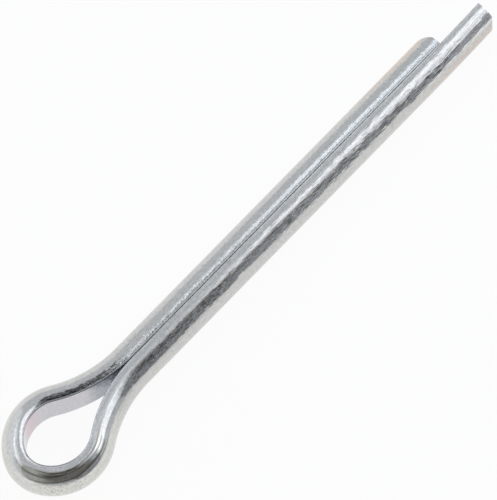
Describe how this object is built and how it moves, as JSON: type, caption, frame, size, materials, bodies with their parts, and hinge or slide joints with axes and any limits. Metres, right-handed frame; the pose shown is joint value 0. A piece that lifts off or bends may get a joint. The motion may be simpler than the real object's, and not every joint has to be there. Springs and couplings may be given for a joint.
{
  "type": "cotter pin",
  "caption": "Split cotter pin of half-round wire folded into an egg-shaped eye, with one leg longer than the other, that locks a nut or pin through a cross hole.",
  "frame": {"origin": "on the axis of the shank, where the straight shank starts below the eye", "axes": "+X along the shank towards the tips, +Y towards the short leg, +Z square to the plane of the eye; the pin lies on its side"},
  "size_m": [0.0534, 0.0088, 0.0038],
  "materials": {
    "zinc_steel": "bright zinc plate on drawn half-round steel wire, with fine lines along the wire"
  },
  "bodies": {
    "root": {"cotter_pin": "zinc_steel"}
  },
  "joints": []
}
